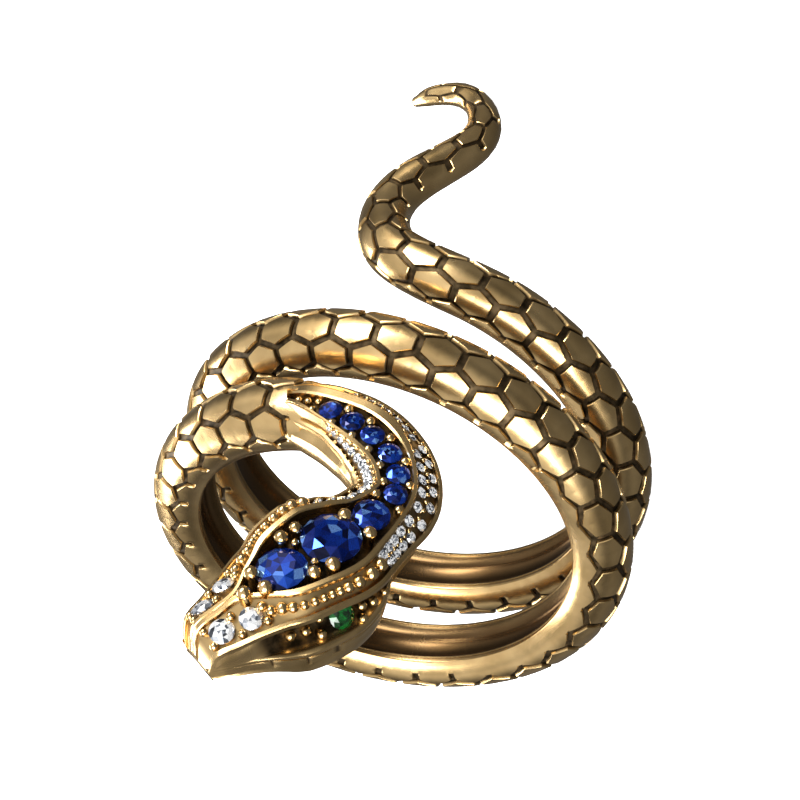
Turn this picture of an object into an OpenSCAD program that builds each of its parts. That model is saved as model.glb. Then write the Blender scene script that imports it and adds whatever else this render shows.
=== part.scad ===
/* [Ring] */
// finger hole diameter, millimetres like every length here
hole_d = 17.3; // [16.6:0.1:18]
// radius of the round body at its thickest
wire_r = 1.46; // [1.4:0.01:1.5]
// how far the wire's centre stands off the finger, as a share of its radius
stand_off = 0.65; // [0.62:0.01:0.68]
// height of the hollow inside the wire, as a share of its radius
hollow = 0.3; // [0.2:0.05:0.4]

/* [Scales] */
// how many scales long the body is
scale_count = 82; // [74:1:84]
// depth of the grooves between the scales
groove_deep = 0.2; // [0.12:0.02:0.26]
// how much of a scale its grooves take
groove_share = 0.2; // [0.14:0.02:0.26]
// how far the scales roll toward the head's side on top of the finger, degrees
scale_sway = 20; // [10:1:25]

/* [Head] */
// width of the rims beside the stone channel
rim_w = 0.2; // [0.16:0.01:0.24]
// how deep the side strips lie under their rims
strip_deep = 0.21; // [0.19:0.01:0.24]

/* [Stones] */
// gap between a stone and its seat
seat_gap = 0.03; // [0.02:0.01:0.05]
// table width of a cut stone, as a share of its width
table_share = 0.58; // [0.5:0.02:0.64]

/* [Rest] */
// how the ring is turned from the finger's frame to lie on its tail's side, about x
rest_x = -62.3; // [-67.3:1:-57.3]
// then about y
rest_y = 34.1; // [29.1:1:39.1]
// then about z
rest_z = -114.1; // [-119.1:1:-109.1]

/* [Hidden] */
bore_r = hole_d / 2;

// the body's run from the tail tip to the neck
// columns: turn in degrees, along the finger, thickness (shares of bore_r and of wire_r)
wire_run = [
    [114.5, 2.165, 0.2],
    [109.6, 2.158, 0.33],
    [103, 2.147, 0.38],
    [96.5, 2.115, 0.42],
    [90.5, 2.02, 0.47],
    [87, 1.87, 0.54],
    [86.4, 1.73, 0.6],
    [88.4, 1.595, 0.65],
    [93.9, 1.454, 0.69],
    [99.2, 1.337, 0.7],
    [103, 1.22, 0.72],
    [104.4, 1.1, 0.76],
    [103.8, 0.98, 0.82],
    [100.9, 0.832, 0.87],
    [95.9, 0.71, 0.88],
    [88, 0.62, 0.89],
    [79, 0.558, 0.89],
    [69, 0.522, 0.9],
    [57, 0.488, 0.91],
    [43, 0.451, 0.915],
    [25, 0.41, 0.94],
    [0, 0.362, 0.97],
    [-40, 0.318, 1],
    [-80, 0.28, 1],
    [-120, 0.23, 1],
    [-160, 0.171, 1],
    [-200, 0.11, 1],
    [-240, 0.05, 1],
    [-280, -0.015, 1],
    [-320, -0.077, 1],
    [-360, -0.139, 1],
    [-400, -0.2, 1],
    [-440, -0.255, 1],
    [-480, -0.302, 1],
    [-520, -0.348, 1],
    [-560, -0.4, 1],
    [-590, -0.445, 1],
    [-610, -0.475, 1],
    [-620, -0.5, 1],
    [-628, -0.55, 0.92]
];

// the neck and head, from inside the wire to the nose plate
// columns: turn, along, right half, left half, crest rise, edge rise, channel right half,
// channel left half, channel depth, side bulge, eye hollow, lift of the chin (shares of bore_r)
head_run = [
    [108, -0.5, 0.09, 0.09, 0.2, 0.15, 0.008, 0.008, 0.002, 0.01, 0, 0],
    [100, -0.55, 0.125, 0.17, 0.272, 0.205, 0.01, 0.01, 0.01, 0.02, 0, 0],
    [91.3, -0.627, 0.14, 0.215, 0.297, 0.225, 0.064, 0.066, 0.06, 0.035, 0, 0],
    [85.6, -0.684, 0.15, 0.235, 0.3, 0.225, 0.075, 0.095, 0.06, 0.04, 0, 0],
    [80.3, -0.742, 0.155, 0.235, 0.3, 0.225, 0.083, 0.095, 0.06, 0.04, 0, 0],
    [75.4, -0.823, 0.17, 0.23, 0.3, 0.225, 0.088, 0.078, 0.06, 0.04, 0, 0],
    [72.2, -0.929, 0.185, 0.228, 0.3, 0.225, 0.088, 0.068, 0.06, 0.042, 0, 0],
    [71.2, -1.052, 0.2, 0.225, 0.305, 0.23, 0.083, 0.068, 0.06, 0.045, 0, 0],
    [73.8, -1.216, 0.23, 0.235, 0.33, 0.25, 0.1, 0.1, 0.065, 0.05, 0.005, 0],
    [76.4, -1.333, 0.268, 0.265, 0.36, 0.285, 0.15, 0.145, 0.08, 0.05, 0.035, 0],
    [79.4, -1.457, 0.295, 0.295, 0.385, 0.31, 0.185, 0.185, 0.095, 0.06, 0.06, 0],
    [82.9, -1.573, 0.283, 0.28, 0.392, 0.315, 0.178, 0.178, 0.095, 0.06, 0.065, 0],
    [86.4, -1.689, 0.25, 0.245, 0.39, 0.312, 0.147, 0.145, 0.09, 0.05, 0.06, 0],
    [89.9, -1.775, 0.222, 0.215, 0.38, 0.305, 0.085, 0.085, 0.07, 0.04, 0.04, 0],
    [93.3, -1.857, 0.2, 0.195, 0.362, 0.29, 0.012, 0.012, 0.006, 0.02, 0.012, 0.045],
    [96.8, -1.94, 0.18, 0.178, 0.338, 0.27, 0.008, 0.008, 0.002, 0.006, 0.004, 0.08],
    [100.3, -2.02, 0.165, 0.165, 0.31, 0.25, 0.008, 0.008, 0.002, 0, 0.002, 0.105],
    [102.4, -2.07, 0.125, 0.125, 0.18, 0.15, 0.006, 0.006, 0.001, 0, 0.001, 0.11]
];

// one smooth value between four neighbours
function blend(a, b, c, d, t) =
    b + 0.5 * t * ((c - a) + t * ((2 * a - 5 * b + 4 * c - d) + t * (3 * (b - c) + d - a)));
function pick(run, i) = run[max(0, min(len(run) - 1, i))];
function row_at(run, u) =
    let (i = max(0, min(len(run) - 2, floor(u))))
    blend(pick(run, i - 1), pick(run, i), pick(run, i + 1), pick(run, i + 2), u - i);

function unit(v) = v / norm(v);
// a point over the finger at a turn, a share along, and a rise in millimetres
function over(turn, along, rise) =
    [(bore_r + rise) * cos(turn), along * bore_r, (bore_r + rise) * sin(turn)];
function out_dir(turn) = [cos(turn), 0, sin(turn)];
function heading(run, u) =
    let (a = row_at(run, u - 0.02), b = row_at(run, u + 0.02))
    unit(over(b[0], b[1], wire_r) - over(a[0], a[1], wire_r));
function right_of(run, u) =
    unit(cross(heading(run, u), out_dir(row_at(run, u)[0])));

// the wire's stations, one for each half scale, spaced by its thickness
fine = 8;
last_u = len(wire_run) - 1;
us = [for (k = [0:fine * last_u]) k / fine];
function thick_step(k) =
    let (a = row_at(wire_run, us[k - 1]), b = row_at(wire_run, us[k]))
    norm(over(b[0], b[1], wire_r / 2) - over(a[0], a[1], wire_r / 2)) / ((a[2] + b[2]) / 2 * wire_r);
run_len = [for (k = 0, s = 0; k < len(us); k = k + 1, s = k < len(us) ? s + thick_step(k) : s) s];
length_table = [for (k = [0:len(us) - 1]) [run_len[k], us[k]]];
cols = scale_count;
halves = 2 * cols;
half_step = run_len[len(us) - 1] / halves;
function u_at(m) = lookup(m * half_step, length_table);

// a point of the wire at a half column, an angle from its crest, and an inset under its skin
function wire_at(m, phi, inset) =
    let (
        u = u_at(m),
        row = row_at(wire_run, u),
        r = row[2] * wire_r,
        rr = r - inset * row[2],
        side = rr * sin(phi),
        rise = stand_off * r + rr * cos(phi)
    )
    over(row[0], row[1], 0) + right_of(wire_run, u) * side + out_dir(row[0]) * rise;
function sway(m) = scale_sway * sin(row_at(wire_run, u_at(m))[0]);
function edge_phi(j, m) = (j - 1.5) * 60 + ((m + j) % 2 == 1 ? 10 : -10) + sway(m);
function groove_pt(j, m) = wire_at(m, edge_phi(j, m), groove_deep);
// a corner of a scale's raised face: its groove corner drawn toward its middle
function face_pt(i, m0, j, m) =
    let (mid = (i - 1) * 60 + sway(m0), k = 1 - groove_share)
    wire_at(m0 + (m - m0) * k, mid + (edge_phi(j, m) - mid) * k, 0);

// under the scales: the smooth sides, the rims on the finger and the hollow between them
rim_phi = 90 + asin(stand_off);
function low_pt(m, k) =
    let (
        u = u_at(m),
        row = row_at(wire_run, u),
        r = row[2] * wire_r,
        half = r * sqrt(1 - stand_off * stand_off),
        sign = k < 4 ? 1 : -1,
        part = k < 4 ? k : 7 - k,
        side = part == 1 ? half : (part == 2 ? half * 0.78 : half * 0.5),
        rise = part == 3 ? hollow * r : 0
    )
    part == 0
        ? wire_at(m, sign * 108 + sway(m) * 0.6, 0)
        : over(row[0], row[1], 0) + right_of(wire_run, u) * side * sign + out_dir(row[0]) * rise;

grooves = [for (m = [0:halves], j = [0:3]) groove_pt(j, m)];
function g_id(j, m) = m * 4 + j;
scales = [for (i = [0:2], m = [1:halves - 1]) if ((m + i) % 2 == 0) [i, m]];
// the six corners round a scale: groove line and half column
function hex(i, m) = [[i, m - 1], [i, m], [i, m + 1], [i + 1, m + 1], [i + 1, m], [i + 1, m - 1]];
faces_at = len(grooves);
scale_pts = [
    for (s = scales)
        let (i = s[0], m = s[1])
        for (c = hex(i, m))
            face_pt(i, m, c[0], c[1])
];
low_at = faces_at + len(scale_pts);
low_pts = [for (c = [0:cols], k = [0:7]) low_pt(2 * c, k)];
function l_id(c, k) = low_at + c * 8 + k;
tip_at = low_at + len(low_pts);
tip_pts = [
    over(wire_run[0][0] + 1.2, wire_run[0][1], wire_r * 0.15),
    wire_at(halves, 0, wire_r * 0.5)
];

scale_faces = [
    for (n = [0:len(scales) - 1])
        let (
            i = scales[n][0],
            m = scales[n][1],
            t = faces_at + 6 * n,
            g = [for (c = hex(i, m)) g_id(c[0], c[1])]
        )
        each concat(
            [[t, t + 1, t + 2], [t, t + 2, t + 3], [t, t + 3, t + 5], [t + 3, t + 4, t + 5]],
            [for (k = [0:5]) [g[k], g[(k + 1) % 6], t + (k + 1) % 6]],
            [for (k = [0:5]) [g[k], t + (k + 1) % 6, t + k]]
        )
];
// half scales left over at the two ends
end_faces = [
    for (m = [0, halves - 1], i = [0:2])
        let (whole = m == 0 ? (i % 2 == 0) : ((halves + i) % 2 == 0))
        if (whole)
            let (a = g_id(i, m), b = g_id(i, m + 1), c = g_id(i + 1, m + 1), d = g_id(i + 1, m))
            each [[a, b, c], [a, c, d]]
];
side_faces = [
    for (c = [0:cols - 1])
        let (m = 2 * c)
        each [
            [g_id(3, m), g_id(3, m + 1), l_id(c, 0)],
            [g_id(3, m + 1), l_id(c + 1, 0), l_id(c, 0)],
            [g_id(3, m + 1), g_id(3, m + 2), l_id(c + 1, 0)],
            [g_id(0, m), l_id(c, 7), g_id(0, m + 1)],
            [g_id(0, m + 1), l_id(c, 7), l_id(c + 1, 7)],
            [g_id(0, m + 1), l_id(c + 1, 7), g_id(0, m + 2)]
        ]
];
low_faces = [
    for (c = [0:cols - 1], k = [0:6])
        each [
            [l_id(c, k), l_id(c + 1, k), l_id(c + 1, k + 1)],
            [l_id(c, k), l_id(c + 1, k + 1), l_id(c, k + 1)]
        ]
];
function end_ring(c, m) = concat([for (j = [0:3]) g_id(j, m)], [for (k = [0:7]) l_id(c, k)]);
cap_faces = [
    let (ring = end_ring(0, 0))
    for (k = [0:11]) [tip_at, ring[k], ring[(k + 1) % 12]]
];
back_faces = [
    let (ring = end_ring(cols, halves))
    for (k = [0:11]) [tip_at + 1, ring[(k + 1) % 12], ring[k]]
];

module wire() {
    polyhedron(
        points = concat(grooves, scale_pts, low_pts, tip_pts),
        faces = concat(scale_faces, end_faces, side_faces, low_faces, cap_faces, back_faces),
        convexity = 10
    );
}

// a point over the head's path: station, across (right is plus) and rise, shares of bore_r
function head_row(u) = row_at(head_run, u);
function head_at(u, across, rise) =
    let (row = head_row(u))
    over(row[0], row[1], 0) + right_of(head_run, u) * across * bore_r + out_dir(row[0]) * rise * bore_r;
// the same point dropped on the finger, with a lift
function foot_at(u, across, lift) =
    let (p = head_at(u, across, 0), r = norm([p[0], p[2]]), k = bore_r * (1 + lift) / r)
    [p[0] * k, p[1], p[2] * k];

rim = rim_w / bore_r;
strip = strip_deep / bore_r;
function half_of(row, sign) = sign > 0 ? row[2] : row[3];
function channel_of(row, sign) = sign > 0 ? row[6] : row[7];
// the middle of a side strip
function strip_mid(u, sign) =
    let (row = head_row(u))
    sign * (channel_of(row, sign) + 0.15 * rim + half_of(row, sign)) / 2;
function strip_width(u, sign) =
    let (row = head_row(u))
    half_of(row, sign) - channel_of(row, sign) - 2.15 * rim;
// where a bead of a radius sits on a side strip: 0 is by its inner edge, 1 by its outer one
function strip_place(u, sign, part, r) =
    let (
        row = head_row(u),
        a = channel_of(row, sign) + 1.2 * rim + r,
        b = half_of(row, sign) - 1.2 * rim - r
    )
    sign * (a + (b - a) * part);
// rise of a side strip's floor
function strip_rise(u, across) =
    let (
        row = head_row(u),
        sign = across > 0 ? 1 : -1,
        a = channel_of(row, sign) + rim,
        b = half_of(row, sign) - rim
    )
    row[4] + (row[5] - row[4]) * (abs(across) - a) / (b - a) - strip;
function strip_tilt(u, across) =
    let (row = head_row(u), sign = across > 0 ? 1 : -1)
    -sign * atan((row[4] - row[5]) / (half_of(row, sign) - channel_of(row, sign) - 2 * rim));

function head_side(u, sign) =
    let (
        row = head_row(u),
        w = half_of(row, sign),
        g = channel_of(row, sign),
        cr = row[4],
        ed = row[5],
        bl = row[9],
        ey = row[10],
        lf = row[11]
    )
    [
        foot_at(u, sign * (w + bl * 0.9), lf),
        head_at(u, sign * (w + bl), lf * 0.7 + 0.06),
        head_at(u, sign * (w + bl * 0.8), lf * 0.5 + 0.1),
        head_at(u, sign * (w + bl * 0.4 - ey), lf * 0.3 + 0.12),
        head_at(u, sign * (w - ey), ed - 0.045),
        head_at(u, sign * w, ed - 0.022),
        head_at(u, sign * w, ed),
        head_at(u, sign * (w - rim * 0.8), ed + 0.004),
        head_at(u, sign * (w - rim), ed - strip),
        head_at(u, sign * (g + rim * 1.2), cr - strip),
        head_at(u, sign * (g + rim), cr),
        head_at(u, sign * g, cr),
        head_at(u, sign * g * 0.94, cr - row[8])
    ];
function head_ring(u) =
    let (r = head_side(u, 1), l = head_side(u, -1), row = head_row(u))
    concat(
        r,
        [for (k = [12:-1:0]) l[k]],
        [for (k = [-0.5, 0, 0.5]) foot_at(u, (k > 0 ? row[2] : row[3]) * k * 1.1, row[11])]
    );
head_us = concat([for (k = [0:32]) k / 2], [17]);
rings = len(head_us);
ring_n = 29;
function h_id(i, k) = i * ring_n + k % ring_n;
head_points = concat(
    [for (u = head_us) each head_ring(u)],
    [head_at(0, 0, 0.1), head_at(17.25, 0, 0.12)]
);
head_faces = concat(
    [
        for (i = [0:rings - 2], k = [0:ring_n - 1])
            each [
                [h_id(i, k), h_id(i + 1, k + 1), h_id(i + 1, k)],
                [h_id(i, k), h_id(i, k + 1), h_id(i + 1, k + 1)]
            ]
    ],
    [for (k = [0:ring_n - 1]) [rings * ring_n, h_id(0, k + 1), h_id(0, k)]],
    [for (k = [0:ring_n - 1]) [rings * ring_n + 1, h_id(rings - 1, k), h_id(rings - 1, k + 1)]]
);

module head() {
    polyhedron(points = head_points, faces = head_faces, convexity = 10);
}

// stones of the channel and the snout
// columns: station, across, rise of the widest edge, width (shares of bore_r)
sapphires = [
    [2, 0, 0.288, 0.118],
    [3, 0, 0.291, 0.12],
    [4, 0, 0.291, 0.12],
    [5, 0, 0.291, 0.12],
    [6, 0, 0.291, 0.12],
    [7, 0, 0.296, 0.12],
    [8.17, 0, 0.33, 0.18],
    [10.07, 0, 0.375, 0.285],
    [12.03, 0, 0.375, 0.243]
];
// columns: station, across, width
snout_stones = [
    [15.24, -0.103, 0.112],
    [14.08, -0.135, 0.108],
    [15.24, 0.103, 0.112],
    [14.08, 0.135, 0.108]
];
// columns: station, across, rise, width
eye_place = [11.35, 0.262, 0.195, 0.125];

// small stones down the middle of the neck strips, columns: station, width as a share of the strip's
left_field = [
    [3.1, 0.52],
    [3.56, 0.58],
    [3.97, 0.66],
    [4.46, 0.72],
    [4.91, 0.74],
    [5.4, 0.74],
    [5.91, 0.72],
    [6.46, 0.72],
    [6.9, 0.74],
    [7.28, 0.76],
    [7.69, 0.8],
    [8.17, 0.8],
    [8.65, 0.8]
];
right_field = [
    [5.05, 0.72],
    [5.65, 0.72],
    [6.25, 0.62],
    [7.22, 0.56],
    [7.7, 0.58],
    [8.06, 0.58],
    [8.48, 0.58],
    [8.89, 0.6]
];

// ball-topped prongs, columns: station, across, rise of the ball's middle, ball radius
prongs = [
    [11.38, 0.13, 0.375, 0.032],
    [11.38, -0.13, 0.375, 0.032],
    [10.76, 0.136, 0.375, 0.032],
    [10.76, -0.136, 0.375, 0.032],
    [9.08, 0.1, 0.335, 0.028],
    [9.08, -0.1, 0.335, 0.028],
    [13.1, 0.038, 0.38, 0.024],
    [13.1, -0.038, 0.38, 0.024]
];
// beads in the channel, columns: station, across, radius
channel_beads = [
    [1.28, 0.008, 0.014],
    [2.5, 0.052, 0.016],
    [2.5, -0.06, 0.016],
    [3.5, 0.056, 0.017],
    [3.5, -0.066, 0.017],
    [4.5, 0.06, 0.017],
    [4.5, -0.062, 0.017],
    [5.5, 0.062, 0.017],
    [5.5, -0.052, 0.016],
    [6.5, 0.06, 0.017],
    [6.5, -0.05, 0.016],
    [7.4, 0.062, 0.016],
    [7.42, -0.052, 0.016]
];
// beads on the side strips, columns: station, place from the strip's inner edge (0) to its outer (1), radius
edge_beads = [
    [15.84, 0.55, 0.014],
    [15.82, 0.1, 0.014],
    [14.72, 0.95, 0.013],
    [14.66, 0.3, 0.016],
    [13.5, 0.9, 0.02],
    [12.98, 0.9, 0.019],
    [12.5, 0.8, 0.018],
    [12.04, 0.6, 0.016],
    [11.6, 0.5, 0.015],
    [11.1, 0.5, 0.015],
    [10.6, 0.5, 0.016],
    [10.05, 0.5, 0.02],
    [9.5, 0.5, 0.02]
];
// beads in the eye hollow, columns: station, across, rise, radius
eye_beads = [
    [12.75, 0.215, 0.2, 0.022],
    [12.1, 0.235, 0.215, 0.018],
    [10.35, 0.25, 0.19, 0.022],
    [9.85, 0.255, 0.205, 0.018]
];

// sets children at a place of the head, tipped about its run
module on_head(u, across, rise, tilt) {
    h = heading(head_run, u);
    e = out_dir(head_row(u)[0]);
    r = right_of(head_run, u);
    t = cross(e, r);
    p = head_at(u, across, rise);
    multmatrix([
        [t[0], -r[0], e[0], p[0]],
        [t[1], -r[1], e[1], p[1]],
        [t[2], -r[2], e[2], p[2]],
        [0, 0, 0, 1]
    ])
        rotate([-tilt, 0, 0])
            children();
}

// a round cut stone, its widest edge at z 0, with a table and triangular crown and pavilion facets
module gem(width, n, depth) {
    r = width / 2;
    rings = [[r, -0.02 * width], [r, 0.02 * width], [r * table_share, 0.17 * width]];
    pts = concat(
        [for (k = [0:n - 1]) [r * cos(360 * k / n), r * sin(360 * k / n), -0.02 * width]],
        [for (k = [0:n - 1]) [r * cos(360 * k / n), r * sin(360 * k / n), 0.02 * width]],
        [
            for (k = [0:n - 1])
                let (a = 360 * (k + 0.5) / n)
                [r * table_share * cos(a), r * table_share * sin(a), 0.17 * width]
        ],
        [[0, 0, -depth * width]]
    );
    faces = concat(
        [for (k = [0:n - 1]) [3 * n, k, (k + 1) % n]],
        [for (k = [0:n - 1]) each [[k, n + (k + 1) % n, (k + 1) % n], [k, n + k, n + (k + 1) % n]]],
        [
            for (k = [0:n - 1])
                each [
                    [n + k, 2 * n + k, n + (k + 1) % n],
                    [n + (k + 1) % n, 2 * n + k, 2 * n + (k + 1) % n]
                ]
        ],
        [[for (k = [n - 1:-1:0]) 2 * n + k]]
    );
    polyhedron(points = pts, faces = faces);
}
// the hole that a stone sits in, with its gap all round
module seat(width, n, up) {
    g = seat_gap;
    r = width / 2 + g;
    hull() {
        translate([0, 0, -0.02 * width - g])
            cylinder(h = up, r = r, $fn = n);
        translate([0, 0, -0.42 * width - 1.6 * g])
            cylinder(h = g, r = 0.02 * width, $fn = n);
    }
}
module bead(r) {
    hull() {
        translate([0, 0, -2.4 * r])
            cylinder(h = 2.4 * r, r = r, $fn = 10);
        translate([0, 0, 0.75 * r])
            cylinder(h = 0.05 * r, r = r * 0.62, $fn = 10);
    }
}
module prong(r, deep) {
    hull() {
        translate([0, 0, -0.35 * r])
            cylinder(h = 0.6 * r, r = r, $fn = 10);
        translate([0, 0, -0.8 * r])
            cylinder(h = 1.6 * r, r = r * 0.6, $fn = 10);
    }
    translate([0, 0, -deep])
        cylinder(h = deep, r = r * 0.6, $fn = 10);
}

module all_seats() {
    for (row = sapphires)
        on_head(row[0], row[1], row[2], 0)
            seat(row[3] * bore_r, row[3] > 0.2 ? 12 : 10, 0.23 * bore_r);
    for (row = snout_stones)
        on_head(row[0], row[1], strip_rise(row[0], row[1]) + 0.026, strip_tilt(row[0], row[1]))
            seat(row[2] * bore_r, 8, 0.14 * bore_r);
    for (side = [-1, 1])
        on_head(eye_place[0], side * eye_place[1], eye_place[2], -side * 68)
            seat(eye_place[3] * bore_r, 8, 0.1 * bore_r);
}
module metal_beads() {
    for (row = prongs)
        on_head(row[0], row[1], row[2], 0)
            prong(row[3] * bore_r, 0.09 * bore_r);
    for (row = channel_beads)
        on_head(row[0], row[1], head_row(row[0])[4] - head_row(row[0])[8] + 0.022, 0)
            bead(row[2] * bore_r);
    for (row = edge_beads, side = [-1, 1])
        let (u = row[0], w = strip_place(u, side, row[1], row[2]))
            on_head(u, w, strip_rise(u, w) + 0.006, strip_tilt(u, w))
                bead(row[2] * bore_r);
    for (row = eye_beads, side = [-1, 1])
        on_head(row[0], side * row[1], row[2], -side * 68)
            bead(row[3] * bore_r);
}

// turns the ring from the finger's frame to the way it lies at rest, its lowest point on the floor
function spun(p) =
    let (
        a = [p[0], p[1] * cos(rest_x) - p[2] * sin(rest_x), p[1] * sin(rest_x) + p[2] * cos(rest_x)],
        b = [a[0] * cos(rest_y) + a[2] * sin(rest_y), a[1], a[2] * cos(rest_y) - a[0] * sin(rest_y)]
    )
    [b[0] * cos(rest_z) - b[1] * sin(rest_z), b[0] * sin(rest_z) + b[1] * cos(rest_z), b[2]];
stone_tops = [for (row = concat(sapphires, prongs)) head_at(row[0], row[1], row[2] + 0.02)];
skin = [for (p = concat(scale_pts, low_pts, tip_pts, head_points, stone_tops)) spun(p)];
skin_x = [for (p = skin) p[0]];
skin_y = [for (p = skin) p[1]];
skin_z = [for (p = skin) p[2]];
module at_rest() {
    translate([-(min(skin_x) + max(skin_x)) / 2, -(min(skin_y) + max(skin_y)) / 2, -min(skin_z)])
        rotate([rest_x, rest_y, rest_z])
            children();
}

module body() {
    color("goldenrod")
        at_rest()
            difference() {
                union() {
                    wire();
                    head();
                    metal_beads();
                }
                all_seats();
            }
}
module channel_stone(k) {
    row = sapphires[k];
    color("royalblue")
        at_rest()
            on_head(row[0], row[1], row[2], 0)
                gem(row[3] * bore_r, row[3] > 0.2 ? 12 : 10, 0.42);
}
module snout_stone(k) {
    row = snout_stones[k];
    color("white")
        at_rest()
            on_head(row[0], row[1], strip_rise(row[0], row[1]) + 0.026, strip_tilt(row[0], row[1]))
                gem(row[2] * bore_r, 8, 0.42);
}
module eye(side) {
    color("green")
        at_rest()
            on_head(eye_place[0], side * eye_place[1], eye_place[2], -side * 68)
                gem(eye_place[3] * bore_r, 8, 0.42);
}
module stone_field(field, sign) {
    color("white")
        at_rest()
            for (row = field) {
                mid = strip_mid(row[0], sign);
                width = row[1] * strip_width(row[0], sign);
                on_head(row[0], mid, strip_rise(row[0], mid), strip_tilt(row[0], mid))
                    translate([0, 0, (0.3 * width + 0.009) * bore_r])
                        gem(width * bore_r, 8, 0.3);
            }
}
module sapphire_1() { channel_stone(0); }
module sapphire_2() { channel_stone(1); }
module sapphire_3() { channel_stone(2); }
module sapphire_4() { channel_stone(3); }
module sapphire_5() { channel_stone(4); }
module sapphire_6() { channel_stone(5); }
module sapphire_7() { channel_stone(6); }
module sapphire_8() { channel_stone(7); }
module sapphire_9() { channel_stone(8); }
module nose_diamond_1() { snout_stone(0); }
module nose_diamond_2() { snout_stone(1); }
module nose_diamond_3() { snout_stone(2); }
module nose_diamond_4() { snout_stone(3); }
module eye_left() { eye(-1); }
module eye_right() { eye(1); }
module pave_left() { stone_field(left_field, -1); }
module pave_right() { stone_field(right_field, 1); }

body();
sapphire_1();
sapphire_2();
sapphire_3();
sapphire_4();
sapphire_5();
sapphire_6();
sapphire_7();
sapphire_8();
sapphire_9();
nose_diamond_1();
nose_diamond_2();
nose_diamond_3();
nose_diamond_4();
eye_left();
eye_right();
pave_left();
pave_right();
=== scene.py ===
import math

import bpy
import bmesh
import numpy as np
from mathutils import Euler, Matrix, Vector


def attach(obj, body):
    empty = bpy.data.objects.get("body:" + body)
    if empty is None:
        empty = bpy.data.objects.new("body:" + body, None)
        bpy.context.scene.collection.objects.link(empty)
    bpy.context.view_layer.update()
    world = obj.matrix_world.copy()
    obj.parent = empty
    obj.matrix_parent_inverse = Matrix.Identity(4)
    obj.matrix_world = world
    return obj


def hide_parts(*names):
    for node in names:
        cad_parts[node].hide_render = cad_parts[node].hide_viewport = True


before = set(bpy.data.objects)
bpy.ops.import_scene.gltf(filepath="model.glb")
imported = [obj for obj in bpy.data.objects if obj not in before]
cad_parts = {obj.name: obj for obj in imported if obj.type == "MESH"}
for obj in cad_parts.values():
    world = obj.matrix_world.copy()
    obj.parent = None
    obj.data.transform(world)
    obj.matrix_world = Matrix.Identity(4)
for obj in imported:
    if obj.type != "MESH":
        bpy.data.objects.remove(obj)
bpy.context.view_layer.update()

# The ring's own sizes, in millimetres, as its solids have them
BORE_R = 8.65
WIRE_R = 1.54
STAND_OFF = 0.65
SCALE_COUNT = 73
ROW_PITCH = 51.0
SCALE_ROLL = 8.0
SCALE_SWAY = 8.0
GROOVE_DEEP = 0.2
RIM = 0.2 / BORE_R
STRIP = 0.21 / BORE_R
REST_TURN = (-62.3, 34.1, -114.1)
REST_SHIFT = (-4.474045, 1.097127, 10.025048)
MM = 0.001

# The body from the tail tip to the neck: turn in degrees, along the finger, thickness
WIRE_RUN = np.array([
    (114.5, 2.165, 0.19), (109.6, 2.158, 0.31), (103, 2.147, 0.36), (96.4, 2.115, 0.405),
    (90.2, 2.02, 0.45), (86.2, 1.87, 0.535), (85.6, 1.73, 0.585), (88.2, 1.595, 0.62),
    (93.8, 1.454, 0.655), (99.1, 1.337, 0.69), (103, 1.22, 0.715), (104.4, 1.1, 0.745),
    (103.8, 0.98, 0.785), (100.9, 0.832, 0.825), (95.9, 0.71, 0.842), (88, 0.615, 0.86),
    (79, 0.555, 0.878), (69, 0.52, 0.89), (57, 0.485, 0.912), (43, 0.446, 0.93),
    (25, 0.405, 0.945), (0, 0.36, 0.97), (-40, 0.318, 1), (-80, 0.28, 1),
    (-120, 0.23, 1), (-160, 0.171, 1), (-200, 0.11, 1), (-240, 0.045, 1),
    (-280, -0.036, 1), (-320, -0.11, 1), (-360, -0.16, 1), (-400, -0.207, 1),
    (-440, -0.255, 1), (-480, -0.302, 1), (-520, -0.352, 1), (-560, -0.408, 1),
    (-590, -0.455, 1.02), (-610, -0.49, 1.045), (-620, -0.52, 0.985), (-628, -0.57, 0.9),
])

# Half columns of scales, and how far along the body they lie
SCALE_MARKS = np.array([
    (-1, 0), (0, 0.9), (1, 1.86), (5, 6.36), (7, 7.99), (33, 32.64), (75, 73.57), (95, 91.3),
    (128, 123.09), (144, 137.33), (146, 139.1),
])
# Half columns of the tail, and how far its scales roll back
TAIL_ROLL = np.array([
    (1, 12), (3, 4), (5, -14), (9, -27), (13, -36), (15, -26), (17, -6), (21, -5), (25, 0),
])

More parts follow.
